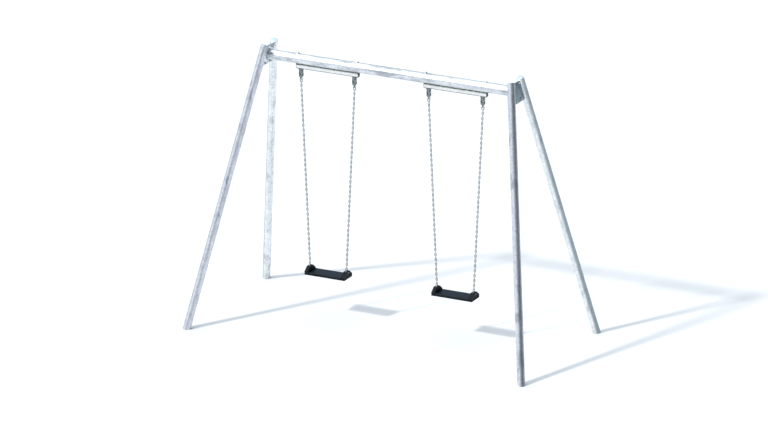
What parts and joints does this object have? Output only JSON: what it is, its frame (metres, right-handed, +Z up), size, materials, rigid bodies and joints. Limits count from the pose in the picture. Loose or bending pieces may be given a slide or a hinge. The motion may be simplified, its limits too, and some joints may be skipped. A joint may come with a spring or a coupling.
{
  "type": "swing set",
  "caption": "A-frame swing set of splayed round galvanised legs and crossbeam with flat moulded seats hung on chains from pivoting bearings.",
  "frame": {"origin": "on the ground, at the middle of the four feet", "axes": "+X along the crossbeam, +Y from front to rear, +Z up"},
  "size_m": [3.6672, 1.7588, 2.7446],
  "materials": {
    "galvanised_steel": "hot-dip galvanised, mottled spangle",
    "cap_metal": "matt pressed caps",
    "zinc_fasteners": "zinc plated",
    "stainless_bar": "satin stainless",
    "dark_plastic": "moulded, matt",
    "pad_rubber": "moulded, matt",
    "bearing_casting": "dark powder-coated casting",
    "bronze_bush": "sintered bronze",
    "chain_steel": "zinc plated, dull",
    "seat_hardware": "zinc plated",
    "seat_rubber": "moulded, satin top, matt ends"
  },
  "bodies": {
    "frame": {"bar_bolt_washers": "zinc_fasteners", "bar_bolts": "zinc_fasteners", "bar_cap_nuts": "zinc_fasteners", "bar_end_caps": "dark_plastic", "bar_saddles": "pad_rubber", "beam_top_washers": "zinc_fasteners", "bearing_bushes": "bronze_bush", "bearing_screws": "zinc_fasteners", "crossbeam": "galvanised_steel", "foot_discs": "galvanised_steel", "frame_bolt_washers": "zinc_fasteners", "frame_bolts": "zinc_fasteners", "frame_nuts": "zinc_fasteners", "front_left_leg": "galvanised_steel", "front_left_leg_cap": "cap_metal", "front_right_leg": "galvanised_steel", "front_right_leg_cap": "cap_metal", "left_beam_flange": "galvanised_steel", "left_gusset_plate": "galvanised_steel", "left_hanger_bar": "stainless_bar", "left_inner_bearing_block": "bearing_casting", "left_outer_bearing_block": "bearing_casting", "rear_left_leg": "galvanised_steel", "rear_left_leg_cap": "cap_metal", "rear_right_leg": "galvanised_steel", "rear_right_leg_cap": "cap_metal", "right_beam_flange": "galvanised_steel", "right_gusset_plate": "galvanised_steel", "right_hanger_bar": "stainless_bar", "right_inner_bearing_block": "bearing_casting", "right_outer_bearing_block": "bearing_casting"},
    "left_swing": {"left_inner_chain": "chain_steel", "left_inner_fork": "bearing_casting", "left_inner_shackle": "chain_steel", "left_outer_chain": "chain_steel", "left_outer_fork": "bearing_casting", "left_outer_shackle": "chain_steel", "left_pivot_pins": "chain_steel", "left_shackle_pins": "chain_steel"},
    "left_seat_body": {"left_seat": "seat_rubber", "left_seat_brackets": "seat_hardware", "left_seat_insert": "seat_hardware", "left_seat_pins": "seat_hardware", "left_seat_rivets": "seat_hardware"},
    "right_swing": {"right_inner_chain": "chain_steel", "right_inner_fork": "bearing_casting", "right_inner_shackle": "chain_steel", "right_outer_chain": "chain_steel", "right_outer_fork": "bearing_casting", "right_outer_shackle": "chain_steel", "right_pivot_pins": "chain_steel", "right_shackle_pins": "chain_steel"},
    "right_seat_body": {"right_seat": "seat_rubber", "right_seat_brackets": "seat_hardware", "right_seat_insert": "seat_hardware", "right_seat_pins": "seat_hardware", "right_seat_rivets": "seat_hardware"}
  },
  "joints": [
    {"name": "left_swing_pivot", "type": "hinge", "parent": "frame", "child": "left_swing", "pos_m": [-0.6845, 0, 2.485], "axis": [1, 0, 0], "range_deg": [-70, 70]},
    {"name": "left_seat_tilt", "type": "hinge", "parent": "left_swing", "child": "left_seat_body", "pos_m": [-0.6845, 0, 0.51814], "axis": [1, 0, 0], "range_deg": [-35, 35]},
    {"name": "right_swing_pivot", "type": "hinge", "parent": "frame", "child": "right_swing", "pos_m": [0.6845, 0, 2.485], "axis": [1, 0, 0], "range_deg": [-70, 70]},
    {"name": "right_seat_tilt", "type": "hinge", "parent": "right_swing", "child": "right_seat_body", "pos_m": [0.6845, 0, 0.51814], "axis": [1, 0, 0], "range_deg": [-35, 35]}
  ]
}
